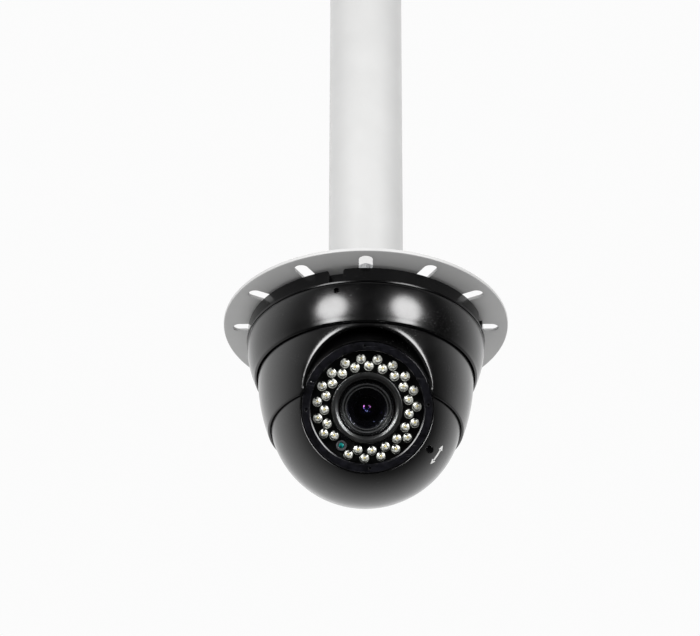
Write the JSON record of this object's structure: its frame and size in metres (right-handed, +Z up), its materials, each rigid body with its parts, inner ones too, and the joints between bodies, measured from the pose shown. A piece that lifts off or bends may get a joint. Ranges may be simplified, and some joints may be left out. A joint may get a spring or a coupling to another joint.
{
  "type": "dome cctv camera",
  "caption": "Black dome CCTV camera with a tilting ball eye, infrared lamps and lens, hung from a pale pendant tube and slotted flange.",
  "frame": {"origin": "centre of the ceiling plate's top face, which lies on the ceiling", "axes": "+Z up along the pendant tube, -Y the way the camera faces, +X to the right in a view from the front"},
  "size_m": [0.16, 0.16, 0.3884],
  "materials": {
    "pale_paint": "smooth pale grey powder coat, satin",
    "zinc_steel": "bright zinc plating",
    "black_screw": "black oxide",
    "matt_black": "fine textured black paint, low sheen",
    "satin_black": "smooth black paint, satin with light scratches",
    "bezel_black": "black anodised, worn edges",
    "rubber": "matt black rubber",
    "acetal": "natural white acetal",
    "dark_plastic": "dark moulded plastic",
    "board_black": "black solder mask",
    "board_green": "green solder mask",
    "clear_epoxy": "clear water-white epoxy with bright reflector cups",
    "sensor_glass": "teal photocell resin in a grey ring",
    "window_glass": "clear polished",
    "lens_glass": "dark coated lens glass"
  },
  "bodies": {
    "fixture": {"ceiling_plate": "pale_paint", "pendant_tube": "pale_paint", "tube_grub_1": "zinc_steel", "tube_grub_2": "zinc_steel", "tube_grub_3": "zinc_steel", "mount_flange": "pale_paint", "flange_grub_1": "zinc_steel", "flange_grub_2": "zinc_steel", "flange_grub_3": "zinc_steel", "mount_gasket": "rubber", "mount_bolt_1": "zinc_steel", "mount_bolt_2": "zinc_steel", "mount_bolt_3": "zinc_steel", "mount_bolt_4": "zinc_steel", "camera_base": "matt_black", "base_seal": "rubber", "cover_ring": "satin_black", "cover_screw_1": "black_screw", "cover_screw_2": "black_screw", "cover_screw_3": "black_screw", "pan_friction_ring": "rubber", "pan_slip_ring": "acetal"},
    "pan_head": {"pan_shell": "satin_black", "tilt_pin_left": "zinc_steel", "tilt_pin_right": "zinc_steel"},
    "tilt_frame": {"tilt_yoke": "zinc_steel", "roll_washer": "acetal"},
    "ball": {"ball_front": "satin_black", "ball_rear": "satin_black", "ball_seal": "rubber", "ball_screw_1": "black_screw", "ball_screw_2": "black_screw", "ball_screw_3": "black_screw", "roll_nut": "zinc_steel", "cable_grommet": "rubber", "bezel_ring": "bezel_black", "front_window": "window_glass", "window_gasket": "rubber", "led_board": "board_black", "led_array": "clear_epoxy", "photocell": "sensor_glass", "lens_shroud": "rubber", "lens_barrel": "dark_plastic", "lens_front_glass": "lens_glass", "chassis_plate": "zinc_steel", "chassis_screw_1": "zinc_steel", "chassis_screw_2": "zinc_steel", "chassis_screw_3": "zinc_steel", "chassis_screw_4": "zinc_steel", "rear_plate": "zinc_steel", "lens_mount": "dark_plastic", "sensor_board": "board_green", "image_sensor": "lens_glass", "main_board": "board_green"},
    "focus_ring": {"focus_gear": "acetal"},
    "focus_adjuster": {"focus_screw": "black_screw"},
    "zoom_ring": {"zoom_gear": "acetal"},
    "zoom_adjuster": {"zoom_screw": "black_screw"}
  },
  "joints": [
    {"name": "pan", "type": "hinge", "parent": "fixture", "child": "pan_head", "pos_m": [0, 0, -0.3345], "axis": [0, 0, 1], "range_deg": [-175, 175]},
    {"name": "tilt", "type": "hinge", "parent": "pan_head", "child": "tilt_frame", "pos_m": [0, 0, -0.3345], "axis": [1, 0, 0], "range_deg": [-11, 63]},
    {"name": "roll", "type": "hinge", "parent": "tilt_frame", "child": "ball", "pos_m": [0, 0, -0.3345], "axis": [0, -0.891, -0.454], "range_deg": [-175, 175]},
    {"name": "focus", "type": "hinge", "parent": "ball", "child": "focus_ring", "pos_m": [0, 0, -0.3345], "axis": [0, -0.891, -0.454], "range_deg": [-35, 35]},
    {"name": "focus_adjust", "type": "hinge", "parent": "ball", "child": "focus_adjuster", "pos_m": [0.03438, 0.01014, -0.3544], "axis": [0, -0.891, -0.454], "range_deg": [-180, 180]},
    {"name": "zoom", "type": "hinge", "parent": "ball", "child": "zoom_ring", "pos_m": [0, 0, -0.3345], "axis": [0, -0.891, -0.454], "range_deg": [-35, 35]},
    {"name": "zoom_adjust", "type": "hinge", "parent": "ball", "child": "zoom_adjuster", "pos_m": [-0.03438, -0.01014, -0.3146], "axis": [0, -0.891, -0.454], "range_deg": [-180, 180]}
  ],
  "couplings": [
    {"joint": "focus_adjust", "follows": "focus", "ratio": -5},
    {"joint": "zoom_adjust", "follows": "zoom", "ratio": -5}
  ]
}
